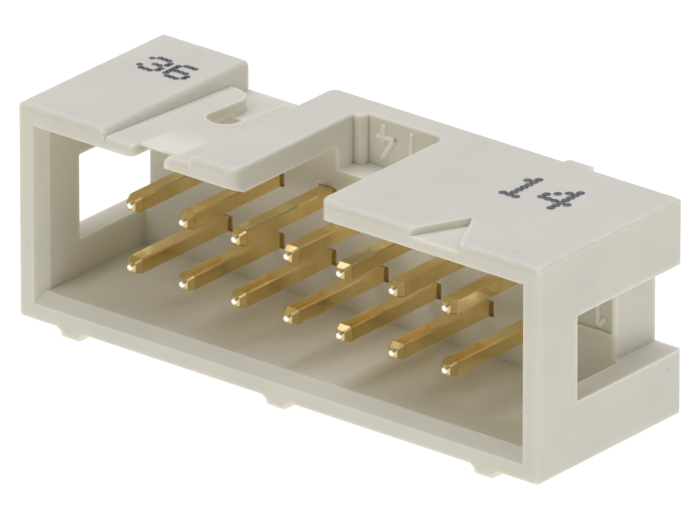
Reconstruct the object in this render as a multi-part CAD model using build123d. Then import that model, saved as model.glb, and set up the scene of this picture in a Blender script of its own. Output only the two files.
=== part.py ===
from build123d import *
import os

# Shrouded pin header for a ribbon-cable socket, right-angle: a moulded housing lies on the board with
# its mouth facing forwards, and two rows of square pins are bent down behind it into the board.
# Millimetres. X runs along the rows, Y from the mating face to the rear, Z up from the board.
# The origin is the middle of the housing's footprint, on the plane of the board.

# Contact pattern
pitch = 2.54
columns = 7

# Contact pins
pin_width = 0.64
pin_edge_chamfer = 0.06
tip_setback = 0.58
tip_length = 0.42
tip_nose = 0.12
tip_shoulder_width = 0.42
tip_end_width = 0.22
tail_taper = 0.45
tail_end_width = 0.32
bend_radius = 0.72
tail_setback = 0.86
tail_reach = 3.00
pin_fit_gap = 0.01
pin_entry_gap = 0.12
pin_entry_depth = 0.16

# Housing shell
end_margin = 4.96
housing_depth = 8.64
housing_height = 8.80
top_wall = 1.05
bottom_wall = 1.15
end_wall = 1.05
cavity_depth = 6.20
corner_radius = 0.15
edge_radius = 0.13
mouth_edge_radius = 0.28

# Lead-in round the mouth: what is left of each wall on the front face
lead_depth = 0.62
bottom_lead_depth = 0.45
top_land = 0.78
bottom_land = 0.70
end_land = 0.72

# Ribs that hold the housing off the board
standoff = 0.28
rib_width = 0.92
rib_offset = 10.03
rib_fillet = 0.20
rib_edge_radius = 0.06

# Latch window in each end wall, which goes on as a groove in the end of the block
window_height = 3.48
window_setback = 2.35
window_depth = 1.26
block_corner_radius = 0.16

# Polarising slot in the top wall, with a crush rib in one rear corner
key_slot_width = 4.10
key_slot_rear_web = 1.13
key_slot_drop = 2.02
key_mouth_radius = 0.50
key_rear_radius = 0.45
key_ledge_radius = 0.22
crush_rib_radius = 0.28
crush_rib_stand = 0.42
crush_rib_inset = 0.19

# Coding recess in the top wall: a ramp, a lower shelf at the rear, a slot and a notch
recess_inset = 4.20
recess_width = 4.15
recess_corner_radius = 0.40
strip_edge_radius = 0.30
strip_corner_radius = 0.18
ramp_front_drop = 0.30
ramp_rear_drop = 0.70
ramp_edge_radius = 0.30
ledge_corner_radius = 0.90
shelf_drop = 1.20
shelf_depth = 1.14
coding_slot_width = 1.38
coding_slot_inset = 1.30
coding_slot_setback = 4.08
notch_width = 1.86
notch_inset = 1.38
notch_depth = 0.53
notch_lean = 0.29
notch_corner_radius = 0.28
channel_skin = 0.12
channel_rear_skin = 0.30
relief_width = 1.20

# Arrow that points from the first pin
arrow_width = 2.40
arrow_length = 2.30
arrow_drop = 0.30

# Shallow pocket for a number, beside the first pin
pocket_width = 1.95
pocket_end_rim = 0.16
pocket_foot = 0.75
pocket_height = 2.05
pocket_drop = 0.16

# Low boss on the rear face, behind the first pin and flush with the top
boss_width = 1.28
boss_stand = 0.22
boss_height = 1.20
boss_corner_radius = 0.16

# A cut that leaves through a face runs past it by this much
overrun = 1.0

housing_length = (columns - 1) * pitch + 2 * end_margin
half_length = housing_length / 2
cavity_half_length = half_length - end_wall
front = -housing_depth / 2
rear = housing_depth / 2
base = standoff
top = base + housing_height
middle = base + housing_height / 2
floor_level = base + bottom_wall
ceiling = top - top_wall
block_front = front + cavity_depth
first_column = (columns - 1) * pitch / 2
key_slot_rear = rear - key_slot_rear_web
key_slot_floor = top - key_slot_drop
recess_start = recess_inset - half_length
recess_end = recess_start + recess_width
shelf_front = rear - shelf_depth
shelf_level = top - shelf_drop
ramp_slope = (ramp_rear_drop - ramp_front_drop) / (shelf_front - front)
coding_slot_left = recess_start + coding_slot_inset
coding_slot_radius = coding_slot_width / 2
coding_slot_arc = front + coding_slot_setback + coding_slot_radius
notch_left = recess_start + notch_inset
notch_right = notch_left + notch_width
notch_rear = front + notch_depth


def block(x0, x1, y0, y1, z0, z1):
    """A box between two corners."""
    centre = Pos((x0 + x1) / 2, (y0 + y1) / 2, (z0 + z1) / 2)
    return centre * Box(x1 - x0, y1 - y0, z1 - z0)


def post(x, y, radius, z0, z1):
    """An upright cylinder between two levels."""
    return Pos(x, y, (z0 + z1) / 2) * Cylinder(radius, z1 - z0)


def flare(x, side, y, radius, z0, z1):
    """What a cut at x takes beyond itself, so that the corner at (x, y) becomes round."""
    centre = x + side * radius
    square = block(min(x, centre), max(x, centre), y - overrun, y + radius, z0, z1)
    return square - post(centre, y + radius, radius, z0, z1)


def side_profile(points, x0, x1):
    """A prism along X, from an outline of (y, z) points."""
    outline = Polyline(*[(x0, y, z) for y, z in points], close=True)
    return extrude(make_face(outline), amount=x1 - x0, dir=(1, 0, 0))


def plan_profile(points, z0, z1):
    """An upright prism, from an outline of (x, y) points."""
    outline = Polyline(*[(x, y, z0) for x, y in points], close=True)
    return extrude(make_face(outline), amount=z1 - z0, dir=(0, 0, 1))


def rectangle_at(y, x0, x1, z0, z1):
    """A rectangle in the upright plane at y."""
    corners = [(x0, y, z0), (x1, y, z0), (x1, y, z1), (x0, y, z1)]
    return make_face(Polyline(*corners, close=True))


def ramp_level(y):
    """Height of the coding recess's ramp at y."""
    return top - ramp_front_drop - ramp_slope * (y - front)


def cavity():
    """The hollow in front of the block, with a lead-in that is shorter below than at its other sides."""
    half = cavity_half_length
    land = half_length - end_land
    half_at_bottom_lead = land + (half - land) * bottom_lead_depth / lead_depth
    hollow = block(-half, half, front, block_front, floor_level, ceiling)
    mouth = rectangle_at(front, -land, land, floor_level, top - top_land)
    throat = rectangle_at(front + lead_depth, -half, half, floor_level, ceiling)
    sill = rectangle_at(front, -land, land, base + bottom_land, middle)
    low_throat = rectangle_at(
        front + bottom_lead_depth, -half_at_bottom_lead, half_at_bottom_lead, floor_level, middle
    )
    return hollow + loft([mouth, throat]) + loft([sill, low_throat])


def latch_window(side):
    low = middle - window_height / 2
    high = middle + window_height / 2
    inner = side * (half_length - window_depth)
    outer = side * (half_length + overrun)
    return block(min(inner, outer), max(inner, outer), front + window_setback, rear + overrun, low, high)


def crush_rib():
    x = crush_rib_inset - key_slot_width / 2
    y = key_slot_rear - crush_rib_stand + crush_rib_radius
    return post(x, y, crush_rib_radius, key_slot_floor - overrun, top + overrun)


def key_slot():
    half = key_slot_width / 2
    slot = block(-half, half, front - overrun, key_slot_rear, key_slot_floor, top + overrun)
    rear_corners = slot.edges().filter_by(Axis.Z).group_by(Axis.Y)[-1]
    slot = fillet(rear_corners, key_rear_radius) - crush_rib()
    for side in (-1, 1):
        slot += flare(side * half, side, front, key_mouth_radius, key_slot_floor, top + overrun)
    return slot


def coding_recess():
    outline = [
        (front - overrun, ramp_level(front - overrun)),
        (shelf_front, ramp_level(shelf_front)),
        (shelf_front, shelf_level),
        (rear + overrun, shelf_level),
        (rear + overrun, top + overrun),
        (front - overrun, top + overrun),
    ]
    recess = side_profile(outline, recess_start, recess_end)
    corner = flare(recess_end, 1, -rear, recess_corner_radius, shelf_level, top + overrun)
    return recess + mirror(corner, about=Plane.XZ)


def strip_rounding():
    """What rounds the strip left of the coding recess, along its top edge and at its front corner."""
    x = recess_start - strip_edge_radius
    level = top - strip_edge_radius
    square = block(x, recess_start, front - overrun, rear + overrun, level, top + overrun)
    rod = Pos(x, 0, level) * Rot(X=90) * Cylinder(strip_edge_radius, housing_depth + 2 * overrun)
    corner = flare(recess_start, -1, front, strip_corner_radius, ramp_level(front), top + overrun)
    return square - rod + corner


def front_rounding(x0, x1, radius, z):
    """What rounds the edge at the front face whose upper side is at z."""
    square = block(x0, x1, front - overrun, front + radius, z - radius, z)
    rod = Pos((x0 + x1) / 2, front + radius, z - radius) * Rot(Y=90) * Cylinder(radius, x1 - x0)
    return square - rod


def coding_slot():
    middle_line = coding_slot_left + coding_slot_radius
    right = coding_slot_left + coding_slot_width
    slot = block(coding_slot_left, right, coding_slot_arc, rear, shelf_level, top + overrun)
    slot += post(middle_line, coding_slot_arc, coding_slot_radius, shelf_level, top + overrun)
    corner = flare(coding_slot_left, -1, -shelf_front, ledge_corner_radius, shelf_level, top + overrun)
    return slot + mirror(corner, about=Plane.XZ)


def coding_notch():
    """The notch in the mouth's edge, and the channel that runs on from it under the ramp."""
    low = ceiling - overrun
    high = top + overrun
    slant = notch_lean / notch_depth
    notch = plan_profile(
        [
            (notch_left, front - overrun),
            (notch_right - notch_lean - slant * overrun, front - overrun),
            (notch_right, notch_rear),
            (notch_left, notch_rear),
        ],
        low,
        high,
    )
    under_ramp = [
        (notch_rear, low),
        (notch_rear, ramp_level(notch_rear) - channel_skin),
        (coding_slot_arc, ramp_level(coding_slot_arc) - channel_rear_skin),
        (coding_slot_arc, low),
    ]
    notch += flare(notch_left, -1, front, notch_corner_radius, low, high)
    return notch + side_profile(under_ramp, notch_left, notch_right)


def lip_relief():
    """Raises the ceiling left of the notch to the level of the mouth's edge."""
    left = notch_left - relief_width
    return block(left, notch_left, front, coding_slot_arc, ceiling - overrun, top - top_land)


def first_pin_arrow():
    left = first_column - arrow_width / 2
    right = first_column + arrow_width / 2
    outline = [
        (left, front - overrun),
        (right, front - overrun),
        (right, front),
        (first_column, front + arrow_length),
        (left, front),
    ]
    return plan_profile(outline, top - arrow_drop, top + overrun)


def number_pocket():
    right = half_length - window_depth - pocket_end_rim
    low = middle - pocket_foot
    pocket_rear = block_front + pocket_drop
    return block(right - pocket_width, right, block_front - overrun, pocket_rear, low, low + pocket_height)


def rear_boss():
    half = boss_width / 2
    left = first_column - half
    right = first_column + half
    boss = block(left, right, key_slot_rear, rear + boss_stand, top - boss_height, top)
    return fillet(boss.edges().filter_by(Axis.Z).group_by(Axis.Y)[-1], boss_corner_radius)


def standoff_rib(x):
    """A rib from front to rear, with hollow fillets where it meets the bottom wall."""
    half = rib_width / 2
    rib = block(x - half, x + half, front, rear, 0, base + bottom_wall / 2)
    rib = fillet(rib.edges().filter_by(Axis.Y).group_by(Axis.Z)[0], rib_edge_radius)
    for side in (-1, 1):
        inner = x + side * half
        outer = inner + side * rib_fillet
        root = block(min(inner, outer), max(inner, outer), front, rear, base - rib_fillet, base + rib_fillet)
        hollow = Pos(outer, 0, base - rib_fillet) * Rot(X=90) * Cylinder(rib_fillet, housing_depth + overrun)
        rib += root - hollow
    return rib


def pin_places():
    """Number, x and row of every pin: odd numbers are in the upper row."""
    for column in range(columns):
        x = first_column - column * pitch
        yield 2 * column + 1, x, 1
        yield 2 * column + 2, x, -1


def pin_level(row):
    return middle + row * pitch / 2


def pin_hole(x, row):
    """A close hole for a pin, with an entry at the mouth that is wider to both sides."""
    z = pin_level(row)
    half = pin_width / 2 + pin_fit_gap
    half_entry = pin_width / 2 + pin_entry_gap
    entry_rear = block_front + pin_entry_depth
    hole = block(x - half, x + half, front, rear + overrun, z - half, z + half)
    return hole + block(x - half_entry, x + half_entry, front, entry_rear, z - half, z + half)


def shell():
    """The outer form with its cavity and the cuts in its top wall, edges rounded."""
    body = block(-half_length, half_length, front, rear, base, top)
    body = fillet(body.edges().filter_by(Axis.Z), corner_radius)
    body -= cavity()
    body -= coding_recess()
    body -= key_slot()
    ledge = body.edges().filter_by(Axis.X).filter_by_position(Axis.Y, block_front, block_front)
    body = fillet(ledge.sort_by(Axis.Z)[-1], key_ledge_radius)
    body = fillet(body.edges().group_by(Axis.Z)[-1], edge_radius)
    return fillet(body.edges().group_by(Axis.Z)[0], edge_radius)


def round_block_corners(body):
    """Rounds the upright edges in which the end grooves meet the block's front."""
    reach = cavity_half_length
    upright = body.edges().filter_by(Axis.Z).filter_by_position(Axis.Y, block_front, block_front)
    corners = upright.filter_by_position(Axis.X, -reach, reach, inclusive=(False, False)).group_by(Axis.X)
    return fillet(corners[0] + corners[-1], block_corner_radius)


def housing():
    body = shell()
    body += rear_boss()
    for x in (-rib_offset, 0, rib_offset):
        body += standoff_rib(x)
    body -= latch_window(-1)
    body -= latch_window(1)
    body = round_block_corners(body)
    body -= strip_rounding()
    body -= front_rounding(-half_length, recess_start, mouth_edge_radius, top)
    body -= front_rounding(recess_start, recess_end, ramp_edge_radius, ramp_level(front))
    body -= front_rounding(recess_end, half_length, mouth_edge_radius, top)
    body -= coding_slot()
    body -= coding_notch()
    body -= lip_relief()
    body -= first_pin_arrow()
    body -= number_pocket()
    for number, x, row in pin_places():
        body -= pin_hole(x, row)
    return body


def pin_section(width, plane):
    """A square across a pin, with its corners cut."""
    square = plane * Rectangle(width, width)
    return chamfer(square.vertices(), pin_edge_chamfer)


def pointed_end(plane, steps):
    """A pin's end beyond a plane that faces outwards, narrowed in steps of (distance, width)."""
    sections = [pin_section(pin_width, plane)]
    for distance, width in steps:
        sections.append(pin_section(width, plane.offset(distance)))
    return loft(sections, ruled=True)


def contact_pin(x, row):
    z = pin_level(row)
    tail_y = rear + tail_setback + (pitch if row > 0 else 0)
    shank_start = Plane((x, front + tip_setback + tip_length, z), x_dir=(-1, 0, 0), z_dir=(0, -1, 0))
    bend_start = Plane((x, tail_y - bend_radius, z), x_dir=(1, 0, 0), z_dir=(0, -1, 0))
    tail_start = Plane((x, tail_y, z - bend_radius), x_dir=(1, 0, 0), z_dir=(0, 0, -1))
    tail_end = Plane((x, tail_y, tail_taper - tail_reach), x_dir=(1, 0, 0), z_dir=(0, 0, -1))
    bend_axis = Axis((x, tail_y - bend_radius, z - bend_radius), (-1, 0, 0))
    shank_length = bend_start.origin.Y - shank_start.origin.Y
    tail_length = tail_start.origin.Z - tail_end.origin.Z
    tip_steps = [(tip_length - tip_nose, tip_shoulder_width), (tip_length, tip_end_width)]
    pin = pointed_end(shank_start, tip_steps)
    pin += extrude(pin_section(pin_width, bend_start), amount=shank_length)
    pin += revolve(pin_section(pin_width, bend_start), bend_axis, 90)
    pin += extrude(pin_section(pin_width, tail_start), amount=tail_length)
    return pin + pointed_end(tail_end, [(tail_taper, tail_end_width)])


os.makedirs("parts", exist_ok=True)
export_step(housing(), "parts/housing.step")
for number, x, row in pin_places():
    export_step(contact_pin(x, row), f"parts/contact_pin_{number:02d}.step")
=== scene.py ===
import math

import bpy
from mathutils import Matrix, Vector


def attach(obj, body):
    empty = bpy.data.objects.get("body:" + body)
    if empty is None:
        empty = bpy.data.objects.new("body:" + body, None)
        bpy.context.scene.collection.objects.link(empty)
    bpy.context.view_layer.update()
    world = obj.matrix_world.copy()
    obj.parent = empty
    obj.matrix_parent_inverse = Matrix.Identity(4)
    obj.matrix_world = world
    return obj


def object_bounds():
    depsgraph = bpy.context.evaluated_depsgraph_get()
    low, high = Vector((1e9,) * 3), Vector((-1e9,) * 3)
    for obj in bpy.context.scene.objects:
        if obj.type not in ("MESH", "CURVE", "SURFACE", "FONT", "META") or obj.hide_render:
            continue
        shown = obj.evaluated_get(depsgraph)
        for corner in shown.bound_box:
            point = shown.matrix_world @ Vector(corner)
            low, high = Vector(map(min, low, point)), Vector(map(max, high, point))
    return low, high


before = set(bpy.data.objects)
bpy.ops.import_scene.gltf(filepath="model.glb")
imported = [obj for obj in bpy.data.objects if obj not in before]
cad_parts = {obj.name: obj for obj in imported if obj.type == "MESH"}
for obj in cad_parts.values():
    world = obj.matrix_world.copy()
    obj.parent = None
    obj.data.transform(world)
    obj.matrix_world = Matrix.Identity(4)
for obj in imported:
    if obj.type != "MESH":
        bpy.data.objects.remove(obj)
MM = 0.001
cad_low, cad_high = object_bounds()

# The photograph's frame and its viewpoint
PHOTO_WIDTH = 700
SENSOR_MM = 36.0
AZIMUTH = 39.023
ELEVATION = 23.623
DISTANCE = 777.4 * MM
FOCAL_PX = 20587.4
AIM = Vector((-0.982, 1.312, 3.745)) * MM

# Faces of the housing that carry numbers, in millimetres
TOP = 9.08
SLOT_REAR = 3.19
POCKET_REAR = 2.04

# The contacts' rows and columns and the front of their tips, in millimetres
PITCH = 2.54
LOWER_ROW = 3.41
TIP_FRONT = -3.74

# Noise patterns: features per metre, layers of detail and, where it is drawn out, the stretch
MOTTLE = (380.0, 4.0)
SPECKS = (1500.0, 1.0)
SKIN_GRAIN = (9000.0, 3.0)
FIGURE_MOTTLE = (1500.0, 2.0)
GOLD_PATCHES = (900.0, 3.0)
DRAWN_STREAKS = (9000.0, 2.0, (1.0, 0.08, 0.3))
INK_SPREAD = (6000.0, 3.0)

# Two tones for each finish, with their places along its pattern
PLASTIC_DARK = (0.736, 0.710, 0.600)
PLASTIC_TONES = [(0.35, PLASTIC_DARK), (0.65, (0.772, 0.743, 0.624))]
# The raised figures' tones are lighter than the wall's as a painted highlight, for light catching
# on them
FIGURE_HIGHLIGHT_TONES = [(0.35, (0.860, 0.820, 0.690)), (0.65, (0.900, 0.860, 0.730))]
GOLD_TONES = [(0.30, (0.84, 0.62, 0.25)), (0.70, (0.95, 0.74, 0.35))]
INK_TONES = [(0.35, (0.105, 0.105, 0.112)), (0.70, (0.215, 0.215, 0.215))]

# Plastic: dark specks, a painted highlight along the edges, the mould's skin and light below the
# surface, in millimetres
SPECK_FADE = (0.80, 0.74)
SPECK_SHARE = 0.45
SPECK_SHADE = 0.80
# The edge colour is a painted highlight, cream, laid along the outer edges
EDGE_HIGHLIGHT_COLOUR = (0.90, 0.87, 0.72)
EDGE_REACH = 0.22
EDGE_FADE = (0.45, 0.95)
EDGE_SAMPLES = 6
SKIN_ROUGHNESS = (0.40, 0.56)
SKIN_HEIGHT = 0.004
PLASTIC_IOR = 1.5
GLOW_WEIGHT = 0.35
GLOW_RADIUS = (1.0, 0.9, 0.7)
GLOW_DEPTH = 0.45

# Gold: the dulled taper behind each nose with its painted shade, and the painted glint on the
# nose's middle, in millimetres
GOLD_ROUGHNESS = (0.04, 0.15)
STREAK_HEIGHT = 0.004
# The taper colour is painted shade: darker gold standing in for the dark reflections on the taper
TAPER_SHADE_COLOUR = (0.70, 0.53, 0.23)
TAPER_DULLING = 0.22
TAPER_END = (0.40, 0.50)
# The nose colour is a painted glint, near white, on the middle of each nose
NOSE_GLINT_COLOUR = (1.0, 0.98, 0.88)
NOSE_SHIFT = 0.03
NOSE_RADIUS = (0.075, 0.150)
NOSE_DEPTH = (0.03, 0.09)

# Ink: its shine, its height and how far it lies above the housing, in millimetres
INK_ROUGHNESS = (0.55, 0.75)
INK_HEIGHT = 0.002
INK_LIFT = 0.004

# Raised figures: the wall they stand on and their strokes, as X and Z of both ends in millimetres,
# upside down as on the mould
RAISED_FIGURES = {
    "raised_number_14_four": (SLOT_REAR, [
        (-0.87, 8.72, -0.90, 8.14),
        (-1.11, 8.28, -0.34, 8.31),
        (-0.34, 8.31, -0.91, 7.46),
    ]),
    "raised_number_14_one": (SLOT_REAR, [
        (0.50, 8.72, 0.48, 7.46),
        (0.48, 7.46, 0.74, 7.74),
    ]),
    "raised_number_1": (POCKET_REAR, [
        (10.32, 5.44, 10.40, 4.10),
        (10.40, 4.10, 10.70, 4.36),
    ]),
}
STROKE_RADIUS = 0.125
STROKE_STAND = 0.100
STROKE_SIDES = 20
STROKE_END_RINGS = 10
SMOOTH_ANGLE = math.radians(40)

# A dot pattern, five wide and seven high, for each printed figure
INK_GRID = (5, 7)
INK_FIGURES = {
    "1": ("..#..", ".##..", "..#..", "..#..", "..#..", "..#..", ".###."),
    "3": (".###.", "#...#", "....#", "..##.", "....#", "#...#", ".###."),
    "4": ("...#.", "..##.", ".#.#.", "#..#.", "#####", "...#.", "...#."),
    "6": (".###.", "#....", "#....", "####.", "#...#", "#...#", ".###."),
}
DOT_SIDES = 14

# Printed numbers: text, lower left corner, size of a figure, gap and a dot's radius in millimetres
PRINTED_NUMBERS = {
    "printed_number_36": ("36", (-11.32, 1.20), (0.88, 1.15), 0.40, 0.140),
    "printed_number_14": ("14", (6.72, 0.52), (1.22, 1.78), 0.46, 0.175),
}

# The light table
FLOOR_SIZE = 4.0
TABLE_GREY = (0.24, 0.24, 0.24)
TABLE_ROUGHNESS = 0.9
TABLE_GLOW = 0.875

# Soft lights: azimuth as the camera's, elevation, size in metres, power in watts, colour
WHITE = (1.0, 1.0, 1.0)
WORLD_STRENGTH = 0.23
LAMP_DISTANCE = 0.5
LAMPS = {
    "key": (-25, 45, 0.25, 0.47, (1.0, 0.99, 0.96)),
    "overhead": (219, 70, 0.40, 1.16, (1.0, 1.01, 1.16)),
    "right_high": (95, 50, 0.30, 0.46, (1.0, 1.0, 1.18)),
}

# A Mix node's colour sockets share their names with its number sockets, so they go by place
MIX_FACTOR = 0
MIX_A = 6
MIX_B = 7
MIX_RESULT = 2


def new_material(name):
    """A node material with its Principled shader."""
    material = bpy.data.materials.new(name)
    material.use_nodes = True
    return material, material.node_tree, material.node_tree.nodes["Principled BSDF"]


def add_noise(tree, scale, detail, stretch=(1.0, 1.0, 1.0)):
    """Noise on Object coordinates, scale in features per metre."""
    coordinates = tree.nodes.new("ShaderNodeTexCoord")
    mapping = tree.nodes.new("ShaderNodeMapping")
    mapping.inputs["Scale"].default_value = stretch
    noise = tree.nodes.new("ShaderNodeTexNoise")
    noise.inputs["Scale"].default_value = scale
    noise.inputs["Detail"].default_value = detail
    tree.links.new(coordinates.outputs["Object"], mapping.inputs["Vector"])
    tree.links.new(mapping.outputs["Vector"], noise.inputs["Vector"])
    return noise.outputs["Fac"]


def add_ramp(tree, source, stops):
    """Colours along a value."""
    ramp = tree.nodes.new("ShaderNodeValToRGB")
    for element, (place, colour) in zip(ramp.color_ramp.elements, stops):
        element.position = place
        element.color = (*colour, 1.0)
    tree.links.new(source, ramp.inputs["Fac"])
    return ramp.outputs["Color"]


def add_range(tree, source, low, high):
    """A value stretched from low to high."""
    stretch = tree.nodes.new("ShaderNodeMapRange")
    stretch.inputs["To Min"].default_value = low
    stretch.inputs["To Max"].default_value = high
    tree.links.new(source, stretch.inputs["Value"])
    return stretch.outputs["Result"]


def add_bump(tree, source, height, target):
    """Fine relief of a height in millimetres."""
    bump = tree.nodes.new("ShaderNodeBump")
    bump.inputs["Distance"].default_value = height * MM
    tree.links.new(source, bump.inputs["Height"])
    tree.links.new(bump.outputs["Normal"], target)


def add_math(tree, operation, *values):
    """A sum, product and so on of sockets or numbers."""
    node = tree.nodes.new("ShaderNodeMath")
    node.operation = operation
    for index, value in enumerate(values):
        if isinstance(value, bpy.types.NodeSocket):
            tree.links.new(value, node.inputs[index])
        else:
            node.inputs[index].default_value = value
    return node.outputs["Value"]


def add_fade(tree, source, full, none):
    """One where the source is at full, zero where it is at none, smooth between them."""
    fade = tree.nodes.new("ShaderNodeMapRange")
    fade.interpolation_type = "SMOOTHSTEP"
    fade.inputs["From Min"].default_value = full
    fade.inputs["From Max"].default_value = none
    fade.inputs["To Min"].default_value = 1.0
    fade.inputs["To Max"].default_value = 0.0
    tree.links.new(source, fade.inputs["Value"])
    return fade.outputs["Result"]


def add_mix(tree, share, source, colour):
    """A colour laid over the source by a share."""
    mix = tree.nodes.new("ShaderNodeMix")
    mix.data_type = "RGBA"
    mix.inputs[MIX_B].default_value = (*colour, 1.0)
    tree.links.new(share, mix.inputs[MIX_FACTOR])
    tree.links.new(source, mix.inputs[MIX_A])
    return mix.outputs[MIX_RESULT]


def add_object_axis(tree, axis):
    """One Object coordinate."""
    coordinates = tree.nodes.new("ShaderNodeTexCoord")
    split = tree.nodes.new("ShaderNodeSeparateXYZ")
    tree.links.new(coordinates.outputs["Object"], split.inputs["Vector"])
    return split.outputs[axis]


def add_edge_highlight_mask(tree):
    """Above zero along the outer edges, where the colour gets a painted highlight for light that
    catches them and shines through thin plastic.
    """
    inside = tree.nodes.new("ShaderNodeAmbientOcclusion")
    inside.inside = True
    inside.only_local = True
    inside.samples = EDGE_SAMPLES
    inside.inputs["Distance"].default_value = EDGE_REACH * MM
    return add_fade(tree, inside.outputs["AO"], *EDGE_FADE)


def add_moulded_skin(tree, shader):
    """The fine spark-eroded skin that the mould leaves."""
    grain = add_noise(tree, *SKIN_GRAIN)
    tree.links.new(add_range(tree, grain, *SKIN_ROUGHNESS), shader.inputs["Roughness"])
    add_bump(tree, grain, SKIN_HEIGHT, shader.inputs["Normal"])
    shader.inputs["IOR"].default_value = PLASTIC_IOR


def moulded_plastic():
    """Light warm-grey plastic: faint mottling, a few specks and a painted highlight along the
    edges.
    """
    material, tree, shader = new_material("moulded_plastic")
    colour = add_ramp(tree, add_noise(tree, *MOTTLE), PLASTIC_TONES)
    specks = add_fade(tree, add_noise(tree, *SPECKS), *SPECK_FADE)
    speck_colour = [value * SPECK_SHADE for value in PLASTIC_DARK]
    marked = add_mix(tree, add_range(tree, specks, 0.0, SPECK_SHARE), colour, speck_colour)
    # Painted highlight along the outer edges
    edge_lit = add_mix(tree, add_edge_highlight_mask(tree), marked, EDGE_HIGHLIGHT_COLOUR)
    tree.links.new(edge_lit, shader.inputs["Base Color"])
    add_moulded_skin(tree, shader)
    shader.inputs["Subsurface Weight"].default_value = GLOW_WEIGHT
    shader.inputs["Subsurface Radius"].default_value = GLOW_RADIUS
    shader.inputs["Subsurface Scale"].default_value = GLOW_DEPTH * MM
    return material


def figure_plastic_with_highlight():
    """The same plastic on the raised figures, painted a little lighter as a highlight where they
    catch the light.
    """
    material, tree, shader = new_material("figure_plastic_with_highlight")
    # Painted highlight: the figures' lighter colour
    colour = add_ramp(tree, add_noise(tree, *FIGURE_MOTTLE), FIGURE_HIGHLIGHT_TONES)
    tree.links.new(colour, shader.inputs["Base Color"])
    add_moulded_skin(tree, shader)
    return material


def add_nose_glint_mask(tree):
    """One on the painted glint in the middle of each contact's nose, zero elsewhere."""
    half = PITCH / 2 * MM
    beside = add_math(tree, "SUBTRACT", add_object_axis(tree, "X"), NOSE_SHIFT * MM)
    across = add_math(tree, "WRAP", beside, half, -half)
    row = (LOWER_ROW + NOSE_SHIFT) * MM
    above = add_math(tree, "SUBTRACT", add_object_axis(tree, "Z"), row)
    along = add_math(tree, "WRAP", above, half, -half)
    across_square = add_math(tree, "MULTIPLY", across, across)
    along_square = add_math(tree, "MULTIPLY", along, along)
    from_middle = add_math(tree, "SQRT", add_math(tree, "ADD", across_square, along_square))
    disc = add_fade(tree, from_middle, *[radius * MM for radius in NOSE_RADIUS])
    depth = [(TIP_FRONT + back) * MM for back in NOSE_DEPTH]
    front = add_fade(tree, add_object_axis(tree, "Y"), *depth)
    return add_math(tree, "MULTIPLY", disc, front)


def gold_plating():
    """Gold over a drawn wire: fine streaks along it, a duller taper with painted shade and a
    painted glint on the nose.
    """
    material, tree, shader = new_material("gold_plating")
    plating = add_ramp(tree, add_noise(tree, *GOLD_PATCHES), GOLD_TONES)
    depth = [(TIP_FRONT + back) * MM for back in TAPER_END]
    taper = add_fade(tree, add_object_axis(tree, "Y"), *depth)
    # Painted shade on the taper behind each nose
    shaded_taper = add_mix(tree, taper, plating, TAPER_SHADE_COLOUR)
    # Painted glint on each nose
    glinted = add_mix(tree, add_nose_glint_mask(tree), shaded_taper, NOSE_GLINT_COLOUR)
    tree.links.new(glinted, shader.inputs["Base Color"])
    shader.inputs["Metallic"].default_value = 1.0
    streaks = add_noise(tree, *DRAWN_STREAKS)
    drawn = add_range(tree, streaks, *GOLD_ROUGHNESS)
    dulled = add_math(tree, "MULTIPLY", taper, TAPER_DULLING)
    tree.links.new(add_math(tree, "ADD", drawn, dulled), shader.inputs["Roughness"])
    add_bump(tree, streaks, STREAK_HEIGHT, shader.inputs["Normal"])
    return material


def printing_ink():
    """Thin dark grey ink, a little uneven."""
    material, tree, shader = new_material("printing_ink")
    spread = add_noise(tree, *INK_SPREAD)
    tree.links.new(add_ramp(tree, spread, INK_TONES), shader.inputs["Base Color"])
    tree.links.new(add_range(tree, spread, *INK_ROUGHNESS), shader.inputs["Roughness"])
    add_bump(tree, spread, INK_HEIGHT, shader.inputs["Normal"])
    return material


def dress(node, material):
    """Gives a carried-over node its finish."""
    node.data.materials.clear()
    node.data.materials.append(material)


def apply_place():
    """Moves the active piece's place into its mesh."""
    bpy.ops.object.transform_apply(location=True, rotation=True, scale=True)


def raised_figure(name, strokes, wall, material):
    """A figure that stands out of a wall facing the front, from round-ended strokes."""
    bpy.ops.object.select_all(action="DESELECT")
    level = (wall - STROKE_STAND + STROKE_RADIUS) * MM
    radius = STROKE_RADIUS * MM
    for index, ends in enumerate(strokes):
        x0, z0, x1, z1 = [value * MM for value in ends]
        bpy.ops.mesh.primitive_cylinder_add(
            vertices=STROKE_SIDES,
            radius=radius,
            depth=math.hypot(x1 - x0, z1 - z0),
            location=((x0 + x1) / 2, level, (z0 + z1) / 2),
            rotation=(0, math.atan2(x1 - x0, z1 - z0), 0),
        )
        if index == 0:
            piece = bpy.context.object
            piece.name = name
            apply_place()
            bpy.ops.object.mode_set(mode="EDIT")
        for end in ((x0, level, z0), (x1, level, z1)):
            bpy.ops.mesh.primitive_uv_sphere_add(
                segments=STROKE_SIDES,
                ring_count=STROKE_END_RINGS,
                radius=radius,
                location=end,
            )
    bpy.ops.object.mode_set(mode="OBJECT")
    bpy.ops.object.shade_smooth_by_angle(angle=SMOOTH_ANGLE)
    piece.data.materials.append(material)
    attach(piece, "root")


def dot_places(text, corner, size, gap):
    """X and Y of each printed dot in millimetres, from the number's lower left corner."""
    columns, rows = INK_GRID
    across = size[0] / (columns - 1)
    down = size[1] / (rows - 1)
    places = []
    for order, figure in enumerate(text):
        left = corner[0] + order * (size[0] + gap)
        for row, line in enumerate(INK_FIGURES[figure]):
            for column, mark in enumerate(line):
                if mark == "#":
                    places.append((left + column * across, corner[1] + (rows - 1 - row) * down))
    return places


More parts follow.
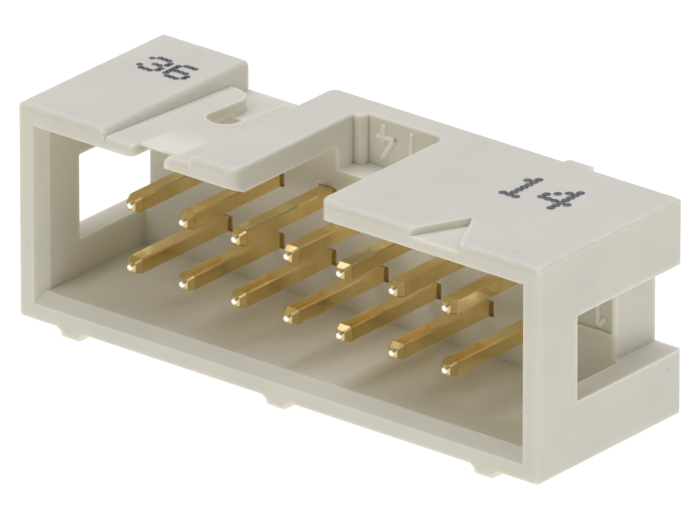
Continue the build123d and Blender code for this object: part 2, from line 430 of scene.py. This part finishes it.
def printed_number(name, text, corner, size, gap, dot, material):
    """A number printed in dots on the housing's top."""
    bpy.ops.object.select_all(action="DESELECT")
    for index, (x, y) in enumerate(dot_places(text, corner, size, gap)):
        bpy.ops.mesh.primitive_circle_add(
            vertices=DOT_SIDES,
            radius=dot * MM,
            fill_type="NGON",
            location=(x * MM, y * MM, (TOP + INK_LIFT) * MM),
        )
        if index == 0:
            piece = bpy.context.object
            piece.name = name
            apply_place()
            bpy.ops.object.mode_set(mode="EDIT")
    bpy.ops.object.mode_set(mode="OBJECT")
    piece.data.materials.append(material)
    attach(piece, "root")


def direction(azimuth, elevation):
    """The way from the part at an azimuth, from its front to its right, and an elevation."""
    turn = math.radians(azimuth)
    rise = math.radians(elevation)
    level = math.cos(rise)
    return Vector((math.sin(turn) * level, -math.cos(turn) * level, math.sin(rise)))


def make_camera():
    """The camera at the photograph's viewing angle."""
    back = direction(AZIMUTH, ELEVATION)
    data = bpy.data.cameras.new("camera")
    data.sensor_width = SENSOR_MM
    data.lens = FOCAL_PX / PHOTO_WIDTH * SENSOR_MM
    camera = bpy.data.objects.new("camera", data)
    camera.rotation_mode = "QUATERNION"
    camera.rotation_quaternion = (-back).to_track_quat("-Z", "Y")
    camera.location = AIM + back * DISTANCE
    bpy.context.scene.collection.objects.link(camera)
    bpy.context.scene.camera = camera


def make_floor():
    """A white light table."""
    bpy.ops.object.select_all(action="DESELECT")
    bpy.ops.mesh.primitive_plane_add(size=FLOOR_SIZE, location=(0, 0, cad_low.z))
    floor = bpy.context.object
    floor.name = "floor"
    apply_place()
    material, _, shader = new_material("light_table")
    shader.inputs["Base Color"].default_value = (*TABLE_GREY, 1.0)
    shader.inputs["Roughness"].default_value = TABLE_ROUGHNESS
    shader.inputs["Emission Color"].default_value = (*WHITE, 1.0)
    shader.inputs["Emission Strength"].default_value = TABLE_GLOW
    floor.data.materials.append(material)


def add_lamp(name, azimuth, elevation, size, power, colour):
    """A square soft light that faces the part."""
    data = bpy.data.lights.new(name, "AREA")
    data.shape = "SQUARE"
    data.size = size
    data.energy = power
    data.color = colour
    lamp = bpy.data.objects.new(name, data)
    toward = direction(azimuth, elevation)
    lamp.location = AIM + toward * LAMP_DISTANCE
    lamp.rotation_mode = "QUATERNION"
    lamp.rotation_quaternion = toward.to_track_quat("Z", "Y")
    bpy.context.scene.collection.objects.link(lamp)


def make_light():
    """White surroundings and the soft lights."""
    world = bpy.data.worlds.new("studio")
    bpy.context.scene.world = world
    world.use_nodes = True
    background = world.node_tree.nodes["Background"]
    background.inputs["Color"].default_value = (*WHITE, 1.0)
    background.inputs["Strength"].default_value = WORLD_STRENGTH
    for name, lamp in LAMPS.items():
        add_lamp(name, *lamp)
    bpy.context.scene.view_settings.view_transform = "Standard"


plastic = moulded_plastic()
highlit_figures = figure_plastic_with_highlight()
gold = gold_plating()
ink = printing_ink()
for node_name, node in sorted(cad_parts.items()):
    dress(node, gold if node_name.startswith("contact_pin") else plastic)
for figure_name, (wall, strokes) in RAISED_FIGURES.items():
    raised_figure(figure_name, strokes, wall, highlit_figures)
for number_name, layout in PRINTED_NUMBERS.items():
    printed_number(number_name, *layout, ink)
make_camera()
make_floor()
make_light()
